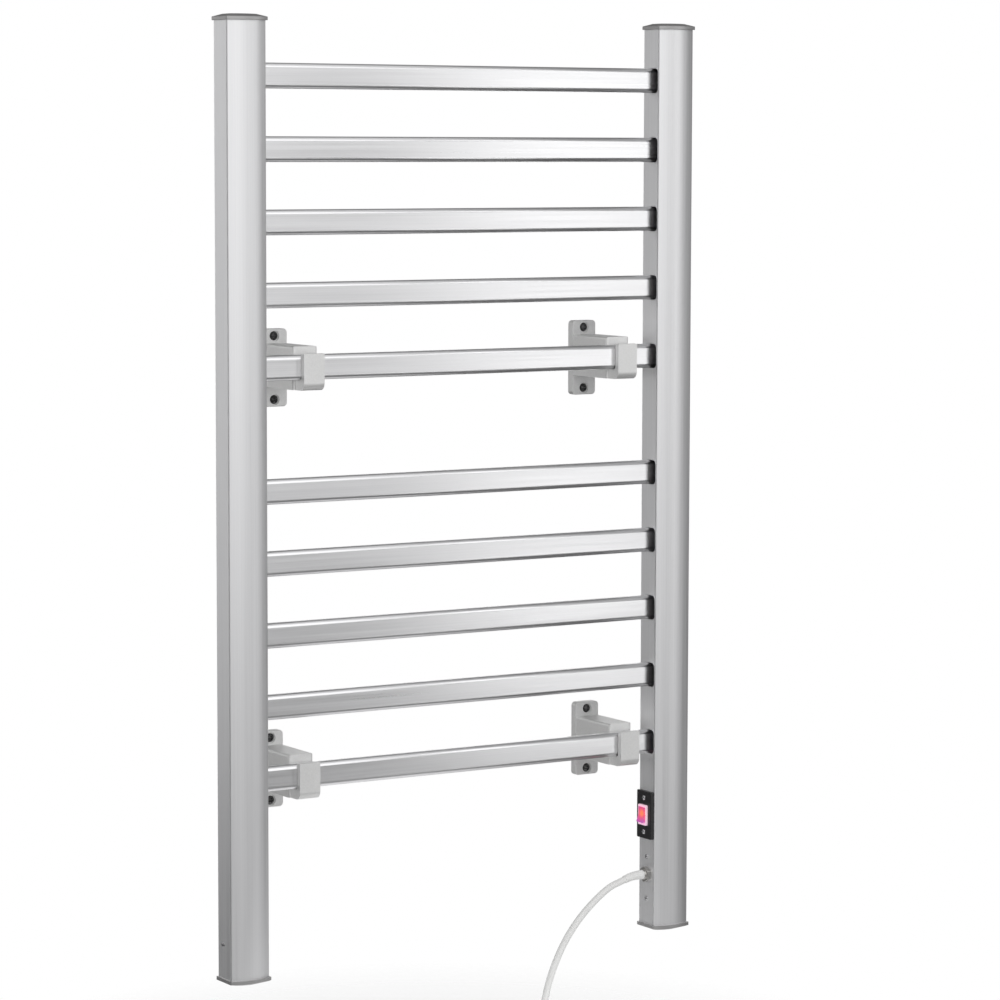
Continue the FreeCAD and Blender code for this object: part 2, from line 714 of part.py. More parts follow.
mouth = Vector(right_inner - gland_hex - gland_nose, post_mid, gland_z)
bore_radius = cord_diameter / 2 + gland_clearance
gland = on_side(hexagon(gland_flats), -gland_hex, gland_hex)
gland = gland.common(on_side(circle(gland_flats / 2 + gland_rounding), -gland_hex, gland_hex))
gland = gland.fuse(cone(boot_radius, gland_nose_radius, mouth, mouth + Vector(gland_nose, 0, 0)))
gland = gland.fuse(on_side(circle(gland_thread / 2), 0, gland_stub))
save(gland.cut(on_side(circle(bore_radius), -2 * gland_hex, 4 * gland_stub)).removeSplitter(), "cable_gland")

strap_u = post_wall
locknut = on_side(hexagon(locknut_flats), strap_u + strap_wall, locknut_height)
save(locknut.cut(on_side(circle(gland_thread / 2 + gland_clearance), 0, gland_stub)), "gland_locknut")

strap = block(right_inner + strap_u, right_inner + strap_u + strap_wall, post_mid - strap_width / 2,
              post_mid + strap_width / 2, gland_z - strap_screw_below - strap_margin,
              gland_z + strap_screw_above + strap_margin)
strap_edges = [e for e in strap.Edges if abs(e.Vertexes[0].X - e.Vertexes[1].X) > 1]
strap = strap.makeFillet(strap_corner, strap_edges)
strap_cuts = [on_side(circle(gland_thread / 2 + gland_clearance), 0, gland_stub)]
strap_screws = []
for level in strap_screw_levels:
    strap_cuts.append(rod(small_shank / 2 + small_clearance / 2, (right_inner, post_mid, level),
                          (right_inner + gland_stub, post_mid, level)))
    strap_screws.append(screw(small_head / 2, small_dome, small_shank / 2, small_length,
                              (right_inner, post_mid, level), (1, 0, 0)))
save(strap.cut(Part.makeCompound(strap_cuts)), "earth_strap")
save(Part.makeCompound(strap_screws), "earth_strap_screws")

ring_x = right_inner + strap_u + strap_wall
ring_z = strap_screw_levels[0]
ring = rod(ring_radius, (ring_x, post_mid, ring_z), (ring_x + ring_wall, post_mid, ring_z))
barrel_x = ring_x + barrel_radius + barrel_lift
barrel_low = ring_z + ring_radius - ring_wall
ring = ring.fuse(rod(barrel_radius, (barrel_x, post_mid, barrel_low),
                     (barrel_x, post_mid, barrel_low + barrel_length)))
save(ring.cut(rod(small_shank / 2 + small_clearance, (right_inner, post_mid, ring_z),
                  (right_inner + gland_stub, post_mid, ring_z))), "earth_ring_terminal")


# ---- Heating cable: one run through every bar, turning inside the posts ----
turn_out = bar_entry + heater_lead_out + heater_bend
left_turn = left_inner - turn_out
right_turn = right_inner + turn_out
return_x = right_inner + return_set_out
lead_drop = heater_bend + 2 * heater_lead_out
heater_points = [(return_x, bar_y, bar_levels[0] - lead_drop), (return_x, bar_y, bar_levels[0])]
for number, level in enumerate(bar_levels[:-1]):
    turn_x = left_turn if number % 2 == 0 else right_turn
    heater_points.append((turn_x, bar_y, level))
    heater_points.append((turn_x, bar_y, bar_levels[number + 1]))
heater_points.append((right_turn, bar_y, bar_levels[-1]))
heater_points.append((right_turn, bar_y, bar_levels[-1] - lead_drop))
save(cable(heater_points, heater_diameter, "heating_cable", heater_bend)[0], "heating_cable")

splice_tops = [(return_x, bar_levels[0] - lead_drop), (right_turn, bar_levels[-1] - lead_drop)]
neutral_splice_low = gland_z + cutout_above + cutout_length
splice_tops.append((return_x, neutral_splice_low + splice_length))
splices = []
for x, top in splice_tops:
    splices.append(rod(splice_radius, (x, bar_y, top - splice_length), (x, bar_y, top)))
save(Part.makeCompound(splices), "crimp_splices")

return_top = bar_levels[0] - lead_drop - splice_length
return_wire = rod(wire_diameter / 2, (return_x, bar_y, splice_tops[2][1]), (return_x, bar_y, return_top))
save(return_wire, "return_wire")

blade_tip = right_inner + body_end_u + blade_length
upper_blade = switch_z + blade_spacing
lower_blade = switch_z - blade_spacing
feed_y = post_mid + feed_behind
heater_feed = [(right_turn, bar_y, splice_tops[1][1] - splice_length), (right_turn, feed_y, upper_blade),
               (blade_tip, feed_y, upper_blade)]
save(cable(heater_feed, wire_diameter, "heater_feed_wire", feed_bend)[0], "heater_feed_wire")

cutout_x = right_inner + turn_out - heater_lead_out
cutout_low = gland_z + cutout_above
cutout = block(cutout_x - cutout_width / 2, cutout_x + cutout_width / 2, post_mid - cutout_depth / 2,
               post_mid + cutout_depth / 2, cutout_low, cutout_low + cutout_length)
cutout = cutout.makeFillet(cutout_edge, vertical_edges(cutout))
save(cutout, "thermal_cutout")
switch_feed = [(cutout_x, post_mid, cutout_low + cutout_length), (cutout_x, post_mid, lower_blade),
               (blade_tip, post_mid, lower_blade)]
save(cable(switch_feed, wire_diameter, "switch_feed_wire", switch_feed_bend)[0], "switch_feed_wire")

jacket_x = right_inner + jacket_end
save(rod(cord_diameter / 2, mouth, (jacket_x, post_mid, gland_z)), "cord_inner_end")
live = [(jacket_x, post_mid, gland_z + core_offset), (cutout_x, post_mid, gland_z + core_offset),
        (cutout_x, post_mid, cutout_low)]
save(cable(live, core_diameter, "live_core", live_bend)[0], "live_core")
neutral_z = gland_z - core_offset + neutral_rise
neutral = [(jacket_x, bar_y, neutral_z), (return_x, bar_y, neutral_z), (return_x, bar_y, neutral_splice_low)]
save(cable(neutral, core_diameter, "neutral_core", neutral_bend)[0], "neutral_core")
earth_x = jacket_x + earth_way
earth_z = gland_z - earth_dip
earth_top = barrel_low + barrel_length + earth_loop
earth = [(jacket_x, post_mid - core_offset, earth_z), (earth_x, post_mid - core_offset, earth_z),
         (earth_x, post_mid, earth_top), (barrel_x, post_mid, earth_top),
         (barrel_x, post_mid, barrel_low + barrel_length)]
save(cable(earth, core_diameter, "earth_core", earth_bend)[0], "earth_core")


# ---- Mains cord: a drooping boot, the hanging run, and the rest wound up on the floor ----
bend_middle = mouth - Vector(0, 0, boot_bend)


def on_bend(degrees):
    angle = math.radians(degrees)
    return bend_middle + Vector(-math.sin(angle), 0, math.cos(angle)) * boot_bend


boot_path = Part.Wire(Part.Arc(mouth, on_bend(boot_turn / 2), on_bend(boot_turn)).toShape())
tip = on_bend(boot_turn)
tip_way = Vector(-math.cos(math.radians(boot_turn)), 0, -math.sin(math.radians(boot_turn)))
boot_sections = [Part.Wire(Part.makeCircle(boot_radius, mouth, Vector(-1, 0, 0))),
                 Part.Wire(Part.makeCircle(boot_tip_radius, tip, tip_way))]
boot = boot_path.makePipeShell(boot_sections, True, False)
save(boot, "cord_boot")

coil_base = floor_z + tie_wall + tie_clearance
lying = coil_base + cord_diameter / 2
coil_middle = Vector(mouth.x - coil_way, -coil_gap - coil_outer, coil_base)
outer_turn = coil_outer - cord_diameter / 2
hanging = [tip] + [mouth + Vector(*corner) for corner in droop]
hanging += [Vector(mouth.x - landing_way, post_mid - landing_off, lying + landing_rise),
            Vector(mouth.x - lying_way, post_mid - lying_off, lying),
            Vector(coil_middle.x, coil_middle.y - outer_turn, lying)]
mains_cord, hanging_length = cable(hanging, cord_diameter, "mains_cord")
save(mains_cord, "mains_cord")

half_section = rounded_rectangle(coil_outer - coil_inner, coil_height, coil_edge)
half_section.rotate(Vector(0, 0, 0), Vector(1, 0, 0), 90)
half_section.translate(Vector((coil_inner + coil_outer) / 2, 0, coil_height / 2))
coil = Part.Face(half_section).revolve(Vector(0, 0, 0), Vector(0, 0, 1), 360)
coil.translate(coil_middle)
save(coil, "mains_cord_coil")

tie_x = coil_middle.x - (coil_inner + coil_outer) / 2
tie_reach = (coil_outer - coil_inner) / 2 + tie_clearance + tie_wall
tie = block(tie_x - tie_reach, tie_x + tie_reach,
            coil_middle.y - tie_width / 2, coil_middle.y + tie_width / 2,
            coil_base - tie_clearance - tie_wall, coil_base + coil_height + tie_clearance + tie_wall)
tie = tie.makeFillet(tie_corner, [e for e in tie.Edges if abs(e.Vertexes[0].Y - e.Vertexes[1].Y) > 1])
room = rounded_rectangle(coil_outer - coil_inner + 2 * tie_clearance, coil_height + 2 * tie_clearance,
                         coil_edge)
room = along_y(prism(room, 2 * tie_width), tie_x, coil_middle.y - tie_width, coil_base + coil_height / 2)
save(tie.cut(room.fuse(coil)), "cord_tie")

plug_z = floor_z + plug_height / 2
neck_start = Vector(coil_middle.x + plug_way, -plug_off_wall, plug_z)
leaving = [Vector(coil_middle.x, coil_middle.y + outer_turn, coil_base + coil_height - cord_diameter / 2),
           Vector(coil_middle.x + leaving_way, coil_middle.y + outer_turn - leaving_off,
                  coil_base + coil_height - leaving_drop),
           Vector(coil_middle.x + tail_way, -plug_off_wall, plug_z), neck_start]
mains_tail, tail_length = cable(leaving, cord_diameter, "mains_cord_tail")
save(mains_tail, "mains_cord_tail")

body_start = neck_start + Vector(plug_neck, 0, 0)
plug_body = along_x(prism(rounded_rectangle(plug_width, plug_height, plug_edge), plug_length),
                    body_start.x, body_start.y, body_start.z)
plug_body = plug_body.makeFillet(plug_back_edge, [e for e in plug_body.Edges if all(
    abs(v.X - body_start.x) < 1e-6 for v in e.Vertexes)])
neck_end = body_start + Vector(plug_neck_entry, 0, 0)
plug_body = plug_body.fuse(cone(cord_diameter / 2 + plug_neck_wall, plug_neck_radius, neck_start, neck_end))
save(plug_body.removeSplitter(), "plug_body")
plug_face = body_start.x + plug_length
blade_y = body_start.y + earth_pin_offset / 3
prongs = []
for end in (-1, 1):
    z = plug_z + end * prong_spacing / 2
    prongs.append(block(plug_face, plug_face + prong_length, blade_y - prong_width / 2,
                        blade_y + prong_width / 2, z - prong_thickness / 2, z + prong_thickness / 2))
earth_pin_y = blade_y - earth_pin_offset
earth_pin_end = plug_face + earth_pin_length - earth_pin_radius
earth_pin = rod(earth_pin_radius, (plug_face, earth_pin_y, plug_z), (earth_pin_end, earth_pin_y, plug_z))
prongs.append(earth_pin.fuse(Part.makeSphere(earth_pin_radius, Vector(earth_pin_end, earth_pin_y, plug_z))))
save(Part.makeCompound(prongs), "plug_prongs")
print(len(written), "nodes; floor", round(floor_z, 2), "mouth", [round(c, 2) for c in mouth])
print("coil middle", [round(c, 2) for c in coil_middle],
      "lengths", round(hanging_length, 1), round(tail_length, 1))
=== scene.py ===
# %% [markdown]
# # A wall-hung electric towel warmer
# This file dresses a finished engineering model. The model gives every part its place and size, and the
# cells below give each part its final shape and its finish. One unit is one metre. +X is to the right seen
# from the room, +Y goes into the wall and +Z is up. The origin is the middle of the four upper wall screws.

# %% Load the engineering model
import math

import bmesh
import bpy
from mathutils import Matrix, Vector


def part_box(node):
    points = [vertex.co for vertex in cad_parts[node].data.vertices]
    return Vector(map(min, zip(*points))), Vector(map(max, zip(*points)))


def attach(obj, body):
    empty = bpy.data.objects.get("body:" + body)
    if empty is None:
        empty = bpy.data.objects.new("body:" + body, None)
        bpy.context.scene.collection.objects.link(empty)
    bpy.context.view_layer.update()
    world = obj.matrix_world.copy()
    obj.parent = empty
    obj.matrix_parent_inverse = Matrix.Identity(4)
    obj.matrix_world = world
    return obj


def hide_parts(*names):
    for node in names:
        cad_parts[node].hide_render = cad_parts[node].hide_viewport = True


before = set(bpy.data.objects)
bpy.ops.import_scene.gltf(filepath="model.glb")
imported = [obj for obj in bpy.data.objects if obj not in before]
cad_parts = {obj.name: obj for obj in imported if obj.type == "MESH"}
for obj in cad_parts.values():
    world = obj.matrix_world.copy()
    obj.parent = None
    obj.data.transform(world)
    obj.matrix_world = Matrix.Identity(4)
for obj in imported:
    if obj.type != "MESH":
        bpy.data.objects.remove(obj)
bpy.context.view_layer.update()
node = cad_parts
MM = 0.001

# %% [markdown]
# ## Small helpers
# Materials and geometry trees are both graphs of nodes. They could be wired up node by node, but then a sum
# on a pattern takes four lines. One small class wraps an output socket instead, so that sums are written the
# way they are written on paper, and one method adds any other node.

# %% Sums on sockets
class Wire:
    """An output socket that takes part in sums: wire * 2, 1 - wire, wire + other."""

    def __init__(self, net, socket):
        self.net = net
        self.socket = socket

    def sum(self, operation, first, second):
        return self.net.add("ShaderNodeMath", {"operation": operation}, {0: first, 1: second})

    def __add__(self, other):
        return self.sum("ADD", self, other)

    def __radd__(self, other):
        return self.sum("ADD", other, self)

    def __sub__(self, other):
        return self.sum("SUBTRACT", self, other)

    def __rsub__(self, other):
        return self.sum("SUBTRACT", other, self)

    def __mul__(self, other):
        return self.sum("MULTIPLY", self, other)

    def __rmul__(self, other):
        return self.sum("MULTIPLY", other, self)

    def __truediv__(self, other):
        return self.sum("DIVIDE", self, other)

    def __rtruediv__(self, other):
        return self.sum("DIVIDE", other, self)


print("sums that a wire takes part in:", [name for name in vars(Wire) if name.startswith("__r")])

# %% Nodes
class Net:
    """A node tree. add() makes one node: its settings first, then the values or links of its sockets."""

    def __init__(self, tree):
        self.tree = tree

    def add(self, kind, settings=None, inputs=None, output=0):
        made = self.tree.nodes.new(kind)
        for name, value in (settings or {}).items():
            if name == "stops":
                ramp = made.color_ramp
                while len(ramp.elements) < len(value):
                    ramp.elements.new(0.5)
                for element, (place, colour) in zip(ramp.elements, value):
                    element.position = place
                    element.color = (*colour, 1)
            else:
                setattr(made, name, value)
        for name, value in (inputs or {}).items():
            if isinstance(value, Wire):
                self.tree.links.new(value.socket, made.inputs[name])
            else:
                made.inputs[name].default_value = value
        return Wire(self, made.outputs[output]) if made.outputs else made

    def stretched(self, source, scale):
        return self.add("ShaderNodeVectorMath", {"operation": "MULTIPLY"}, {0: source, 1: scale})

    def distance(self, source, point):
        return self.add("ShaderNodeVectorMath", {"operation": "DISTANCE"}, {0: source, 1: point}, "Value")

    def noise(self, source, detail=2.0):
        return self.add("ShaderNodeTexNoise", None, {"Vector": source, "Scale": 1.0, "Detail": detail})

    def mixed(self, factor, first, second):
        """A colour between two colours. A Mix node takes colours at sockets 6 and 7 and gives one at 2."""
        return self.add("ShaderNodeMix", {"data_type": "RGBA"}, {0: factor, 6: (*first, 1), 7: (*second, 1)}, 2)

    def clamped(self, value, low, high):
        return self.add("ShaderNodeClamp", None, {0: value, 1: low, 2: high})


print("ways to add nodes:", [name for name in vars(Net) if not name.startswith("_")])

# %% Objects and meshes
def put(name, data):
    """A new object in the scene, at the origin."""
    made = bpy.data.objects.new(name, data)
    bpy.context.collection.objects.link(made)
    return made


def plain_mesh(thing):
    """An object's shape with all its modifiers, as a mesh of its own."""
    return bpy.data.meshes.new_from_object(thing.evaluated_get(bpy.context.evaluated_depsgraph_get()))


def written(form, name):
    """Mesh data from a finished edit mesh, which is then let go."""
    mesh = bpy.data.meshes.new(name)
    form.to_mesh(mesh)
    form.free()
    return mesh


print("one unit is a metre, so a millimetre is", MM)

# %% [markdown]
# ## Camera
# The rack is looked at from the front left, a little above its middle, through a long lens, so its upright
# lines stay almost parallel. The camera stands about 3.6 metres away. Its direction is given as three angles,
# because each can then be changed by itself, and its matrix is built from them.

# %% Camera
camera = put("camera", bpy.data.cameras.new("camera"))
bpy.context.scene.camera = camera
camera.data.lens = 131.713
camera.data.sensor_width = 36.0
camera.data.clip_end = 50.0
stand = Vector((-1.87590, -3.16828, 0.21499))
yaw, pitch, roll = math.radians(31.748), math.radians(5.5), math.radians(0.132)
ahead = Vector((math.sin(yaw) * math.cos(pitch), math.cos(yaw) * math.cos(pitch), -math.sin(pitch)))
level_right = Vector((math.cos(yaw), -math.sin(yaw), 0))
level_up = level_right.cross(ahead)
right = math.cos(roll) * level_right + math.sin(roll) * level_up
up = math.cos(roll) * level_up - math.sin(roll) * level_right
camera.matrix_world = Matrix((
    (right.x, up.x, -ahead.x, stand.x),
    (right.y, up.y, -ahead.y, stand.y),
    (right.z, up.z, -ahead.z, stand.z),
    (0, 0, 0, 1)))
print("camera at", [round(v, 3) for v in camera.matrix_world.translation])

# %% [markdown]
# ## The mains lead
# The lead is a 7 mm round cable. It leaves the gland level with the floor, droops under its own weight, and
# the rest of its one and a half metres is wound into a small coil on the floor, tied with a strap. It could
# be a mesh tube, but a NURBS curve with a round bevel keeps an even thickness by itself and bends like a
# cable. Its control points are the corners of the route that the engineering model follows, plus a ring of
# points for each turn of the coil.

# %% From the gland to the floor
mouth = Vector((209.3, -78.85, -531.8)) * MM
floor_z = -719.8 * MM
cord_diameter = 7.0 * MM
coil_middle = Vector((-22.7, -52.0, -718.4)) * MM
boot_bend, boot_turn = 75.0 * MM, math.radians(16.8)
boot_corner = mouth - Vector((boot_bend * math.tan(boot_turn / 2), 0, 0))
boot_tip = mouth + Vector((-boot_bend * math.sin(boot_turn), 0, -boot_bend * (1 - math.cos(boot_turn))))
lying = coil_middle.z + cord_diameter / 2
route = [mouth, boot_corner, boot_tip]
for way, off, rise in [(-45.6, 0.0, -10.4), (-85.9, 0.0, -44.7), (-112.0, 0.0, -90.0), (-124.7, -2.0, -138.4)]:
    route.append(mouth + Vector((way, off, rise)) * MM)
route.append(Vector((mouth.x - 150.0 * MM, mouth.y - 8.0 * MM, lying + 13.0 * MM)))
route.append(Vector((mouth.x - 191.0 * MM, mouth.y - 15.0 * MM, lying)))
print("to the floor:", len(route), "points, dropping", round((mouth.z - lying) / MM), "mm")

# %% The coil and the way to the plug
points_a_turn = 24
crossing = 5                     # points over which one turn climbs or widens into the next
turns = [(43.5, 3.5), (36.4, 3.5), (36.4, 10.6), (43.5, 10.6), (43.5, 17.7)]   # radius and height
for number, (radius, height) in enumerate(turns):
    last_turn = number == len(turns) - 1
    next_radius, next_height = (radius, height) if last_turn else turns[number + 1]
    for step in range(points_a_turn // 2 + 1 if last_turn else points_a_turn):
        blend = 0.0 if last_turn else max(0.0, (step - points_a_turn + crossing) / crossing)
        angle = math.radians(-90 - 360 * step / points_a_turn)
        reach = (radius + (next_radius - radius) * blend) * MM
        rise = (height + (next_height - height) * blend) * MM
        route.append(coil_middle + Vector((reach * math.cos(angle), reach * math.sin(angle), rise)))
plug_row, plug_z = -22.0 * MM, floor_z + 12.0 * MM
neck_start = Vector((coil_middle.x + 100.0 * MM, plug_row, plug_z))
route.append(coil_middle + Vector((38.0, 42.0, 16.0)) * MM)
route.append(Vector((coil_middle.x + 75.0 * MM, plug_row, plug_z)))
route.append(neck_start)
route.append(neck_start + Vector((6.0 * MM, 0, 0)))
print("coil:", len(turns), "turns,", round(2 * max(radius for radius, height in turns)), "mm across the middle")

# %% The curve
lead_curve = bpy.data.curves.new("mains_lead", "CURVE")
lead_curve.dimensions = "3D"
spline = lead_curve.splines.new("NURBS")
spline.points.add(len(route) - 1)
for point, place in zip(spline.points, route):
    point.co = (*place, 1)
spline.order_u = 3
spline.use_endpoint_u = True
spline.resolution_u = 6
lead_curve.bevel_depth = cord_diameter / 2
lead_curve.bevel_resolution = 5
lead_curve.use_fill_caps = True
lead = put("mains_lead", lead_curve)

bare_curve = lead_curve.copy()
bare_curve.bevel_depth = 0
bare = put("bare", bare_curve)
lead_points = [vertex.co.copy() for vertex in plain_mesh(bare).vertices]
bpy.data.objects.remove(bare)

# %% [markdown]
# ## Finishes
# Every finish starts from the same shader. What changes over a surface, such as the brushing on aluminium or
# the fine grain of a moulding, comes from noise on the piece's own coordinates. Painted pictures would need
# each part to be unwrapped, and noise doesn't, and it stays put when the piece moves. Values that are even
# all over are set straight on the shader.

# %% Finish helpers
def start_finish(name, **even):
    """A new finish: its material, its graph, its shader and the piece's own coordinates."""
    material = bpy.data.materials.new(name)
    material.use_nodes = True
    shader = material.node_tree.nodes["Principled BSDF"]
    for socket, value in even.items():
        shader.inputs[socket.replace("_", " ")].default_value = value
    net = Net(material.node_tree)
    return material, net, shader, net.add("ShaderNodeTexCoord", None, None, "Object")


def feed(net, shader, **wires):
    for socket, wire in wires.items():
        net.tree.links.new(wire.socket, shader.inputs[socket.replace("_", " ")])


def bump(net, height, strength, depth):
    return net.add("ShaderNodeBump", None, {"Height": height, "Strength": strength, "Distance": depth})


def shades(colour, darker, lighter):
    """A darker and a lighter shade of a colour."""
    return tuple(c * darker for c in colour), tuple(min(1.0, c * lighter) for c in colour)


print("shades of mid grey:", shades((0.5, 0.5, 0.5), 0.9, 1.1))

# %% [markdown]
# ### Brushed aluminium
# The posts and bars are extruded aluminium, brushed along their length and anodised. Brushing leaves fine
# parallel lines. An anisotropic shader would blur the highlight but draw no lines, so noise is stretched
# along the brushing direction: once finely for the lines and once broadly for the slow change of tone from
# one stroke to the next. Both move the colour and the roughness, and the lines give a very shallow bump.

# %% Brushed aluminium
def brushed(name, colour, brushing_axis, roughness, lines=620.0):
    material, net, shader, place = start_finish(name, Metallic=1.0)
    fine, broad = [lines] * 3, [lines / 8] * 3
    fine[brushing_axis], broad[brushing_axis] = 5.0, 1.2
    line = net.noise(net.stretched(place, fine), 4.0)
    stroke = net.noise(net.stretched(place, broad))
    tone = net.clamped(line * 0.65 + stroke * 0.35, 0.0, 1.0)
    feed(net, shader, Base_Color=net.mixed(tone, *shades(colour, 0.86, 1.1)),
         Roughness=roughness + (line - 0.5) * 0.22 + (stroke - 0.5) * 0.1,
         Normal=bump(net, line, 0.25, 0.00005))
    return material


post_metal = brushed("brushed post aluminium", (0.84, 0.84, 0.85), 2, 0.48)
bar_metal = brushed("brushed bar aluminium", (0.86, 0.86, 0.87), 0, 0.33)
print("brushed finishes:", post_metal.name, "and", bar_metal.name)

# %% [markdown]
# ### Mouldings, painted and plain
# Brackets and end caps are mouldings with a silver-grey paint whose flakes make them half metallic. The
# switch plate, the plug, the lead's jacket and the sleeves inside are plain mouldings. A fine noise gives the
# grain of the mould or of the paint, and a slow one gives faint clouds of tone, which keep a large even
# surface from looking flat. One function serves them all, because only the sizes of the two differ.

# %% Mouldings
def moulded(name, colour, roughness, grain=1500.0, depth=0.00006, metallic=0.0, mottle=0.1):
    cloud_grain = 38.0
    material, net, shader, place = start_finish(name, Metallic=metallic)
    spark = net.noise(net.stretched(place, [grain] * 3))
    cloud = net.noise(net.stretched(place, [cloud_grain] * 3), 3.0)
    tone = net.clamped(spark * 0.5 + cloud * 0.5, 0.0, 1.0)
    feed(net, shader, Base_Color=net.mixed(tone, *shades(colour, 1 - mottle, 1 + mottle * 0.8)),
         Roughness=roughness + (spark - 0.5) * 0.16 + (cloud - 0.5) * 0.1,
         Normal=bump(net, spark, 0.35, depth))
    return material


bracket_grey = moulded("silver painted moulding", (0.86, 0.86, 0.855), 0.5, 620.0, 0.00025, 0.55, 0.14)
cap_grey = moulded("grey painted cap", (0.44, 0.435, 0.435), 0.4, 900.0, 0.00012, 0.6, 0.12)
black_plate = moulded("black moulding", (0.014, 0.014, 0.015), 0.33)
plug_white = moulded("white plug moulding", (0.84, 0.84, 0.82), 0.36)
cord_white = moulded("white cord jacket", (0.94, 0.94, 0.93), 0.5, 55.0, 0.000002, 0.0, 0.02)
splice_cream = moulded("nylon crimp cap", (0.72, 0.68, 0.55), 0.4)
blue_jacket = moulded("blue wire jacket", (0.05, 0.14, 0.5), 0.4)
brown_jacket = moulded("brown wire jacket", (0.18, 0.08, 0.035), 0.4)
green_jacket = moulded("green wire jacket", (0.12, 0.42, 0.08), 0.4)
silicone_red = moulded("silicone heater sleeve", (0.5, 0.1, 0.06), 0.55)
cutout_sleeve = moulded("cutout sleeve", (0.2, 0.2, 0.21), 0.45)
print("finishes so far:", len(bpy.data.materials))

# %% [markdown]
# ### Small metal parts
# Screws and fittings are plated or blackened steel. Turning and forming leave faint marks in every
# direction, and the plating wears a little brighter and a little duller in patches. The blackened screws
# are oiled, which a clear coat over a dark base shows better than a dark metal would.

# %% Small metal parts
def plated(name, colour, roughness, metallic=1.0, coat=0.0):
    mark_grain, patch_grain = 900.0, 140.0
    material, net, shader, place = start_finish(name, Metallic=metallic, Coat_Weight=coat, Coat_Roughness=0.12)
    marks = net.noise(net.stretched(place, [mark_grain] * 3), 3.0)
    patches = net.noise(net.stretched(place, [patch_grain] * 3))
    tone = net.clamped(marks * 0.4 + patches * 0.6, 0.0, 1.0)
    feed(net, shader, Base_Color=net.mixed(tone, *shades(colour, 0.78, 1.18)),
         Roughness=roughness + (marks - 0.5) * 0.2 + (patches - 0.5) * 0.12,
         Normal=bump(net, marks, 0.2, 0.00004))
    return material


zinc_steel = plated("zinc plated steel", (0.5, 0.5, 0.51), 0.2)
black_steel = plated("blackened steel", (0.01, 0.01, 0.011), 0.14, 0.0, 1.0)
nickel = plated("dull nickel plate", (0.52, 0.51, 0.49), 0.32)
tinned_brass = plated("tinned brass", (0.68, 0.56, 0.32), 0.32)
print("metal finishes:", [finish.name for finish in (zinc_steel, black_steel, nickel, tinned_brass)])

# %% [markdown]
# ### The lit rocker
# A neon lamp inside the rocker makes its translucent lens glow: orange next to the lamp, red round it and a
# dull purple at the far end. The frame round the rocker is pale, and the lamp light it catches is painted
# on it as a weaker emission. A real lamp behind a glass shader would need many samples to look clean, so the
# glow is an emission colour that follows the distance to the lamp.

# %% Lens, frame and lamp
lamp_place = Vector((211.6, -79.6, -467.6)) * MM


def glowing(name, colour, stops, reach, strength, roughness):
    material, net, shader, place = start_finish(name, Emission_Strength=strength, Roughness=roughness)
    ribs = net.noise(net.stretched(place, [300.0, 900.0, 300.0]))
    grade = net.clamped(net.distance(place, lamp_place) / reach + (ribs - 0.5) * 0.12, 0.0, 1.0)
    glow = net.add("ShaderNodeValToRGB", {"stops": stops}, {0: grade})
    spark = net.noise(net.stretched(place, [1300.0] * 3))
    feed(net, shader, Base_Color=net.mixed(spark, *shades(colour, 0.88, 1.0)),
         Emission_Color=glow, Normal=bump(net, spark, 0.2, 0.00004))
    return material


lens_glow = glowing("lit rocker lens", (0.55, 0.06, 0.06), [
    (0.0, (1.0, 0.48, 0.16)), (0.34, (0.95, 0.25, 0.07)), (0.6, (0.6, 0.09, 0.2)), (1.0, (0.24, 0.08, 0.42))],
    0.0105, 0.9, 0.2)
# The frame is no lamp: its emission is painted light from the neon lamp in the rocker.
frame_painted_lamp_light = glowing("pale switch frame with painted lamp light", (0.8, 0.66, 0.72), [
    (0.0, (1.0, 0.6, 0.62)), (0.5, (0.95, 0.6, 0.72)), (1.0, (0.7, 0.5, 0.75))], 0.018, 0.5, 0.25)
neon_orange = glowing("neon lamp", (0.9, 0.5, 0.3), [
    (0.0, (1.0, 0.55, 0.25)), (1.0, (1.0, 0.3, 0.1))], 0.01, 3.0, 0.15)
print("glowing finishes round the lamp at", [round(v, 4) for v in lamp_place])

# %% [markdown]
# ### The strap round the coil
# The coil's strap is a strip of hook-and-loop tape: a napped side that scatters light. Real fibres would be
# far too small to see, so short noise breaks up the colour, a bump gives a nap, and sheen lightens the edges.

# %% Napped strap
napped, net, shader, place = start_finish("napped black tape", Sheen_Weight=0.5, Roughness=0.9)
nap = net.noise(net.stretched(place, [2600.0, 900.0, 2600.0]), 3.0)
feed(net, shader, Base_Color=net.mixed(nap, (0.008, 0.008, 0.008), (0.05, 0.05, 0.052)),
     Normal=bump(net, nap, 0.7, 0.0003))
print("finishes in all:", len(bpy.data.materials))

# %% [markdown]
# ## Dressing the engineering parts
# The posts and the small parts inside have their right shape already. They could be modelled again, but that
# would only risk a wrong size, so they keep it and just take their finish here.

# %% Finishes for the parts that keep their shape
dressing = {
    post_metal: ["post_left", "post_right"],
    zinc_steel: ["earth_strap", "plug_prongs"],
    nickel: ["gland_locknut"],
    tinned_brass: ["switch_terminals", "earth_ring_terminal"],
    silicone_red: ["heating_cable"],
    splice_cream: ["crimp_splices"],
    blue_jacket: ["return_wire", "neutral_core"],
    brown_jacket: ["heater_feed_wire", "switch_feed_wire", "live_core"],
    green_jacket: ["earth_core"],
    cutout_sleeve: ["thermal_cutout"],
    cord_white: ["cord_inner_end"],
    neon_orange: ["neon_lamp"],
}
for finish, names in dressing.items():
    for name in names:
        node[name].data.materials.clear()
        node[name].data.materials.append(finish)
print("dressed", sum(len(names) for names in dressing.values()), "parts")

# %% [markdown]
# ## Moulded and machined edges
# A real moulding has no razor edges: the tool leaves every edge a little round, and that is what catches the
# light. The rounding could be drawn into the engineering shape, but it is far too small to matter there. So a
# clean copy of the engineering mesh gets a small bevel and stands in for the part.

